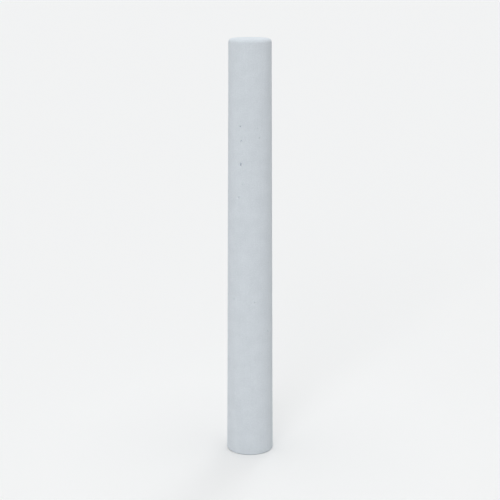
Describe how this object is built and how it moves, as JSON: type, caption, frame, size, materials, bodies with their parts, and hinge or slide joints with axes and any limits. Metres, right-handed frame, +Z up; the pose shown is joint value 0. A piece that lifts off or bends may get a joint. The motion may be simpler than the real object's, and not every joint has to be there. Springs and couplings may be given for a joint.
{
  "type": "chalk stick",
  "caption": "Tapered round stick of white board chalk with a flat struck end and a rounded moulded end, for writing on a chalkboard.",
  "frame": {"origin": "centre of the wide end's flat face, which the stick stands on", "axes": "+Z up the stick's axis, from the wide struck end to the narrow moulded end; X and Y across it"},
  "size_m": [0.009, 0.009, 0.08],
  "materials": {
    "chalk": "matte"
  },
  "bodies": {
    "root": {"chalk_stick": "chalk"}
  },
  "joints": []
}
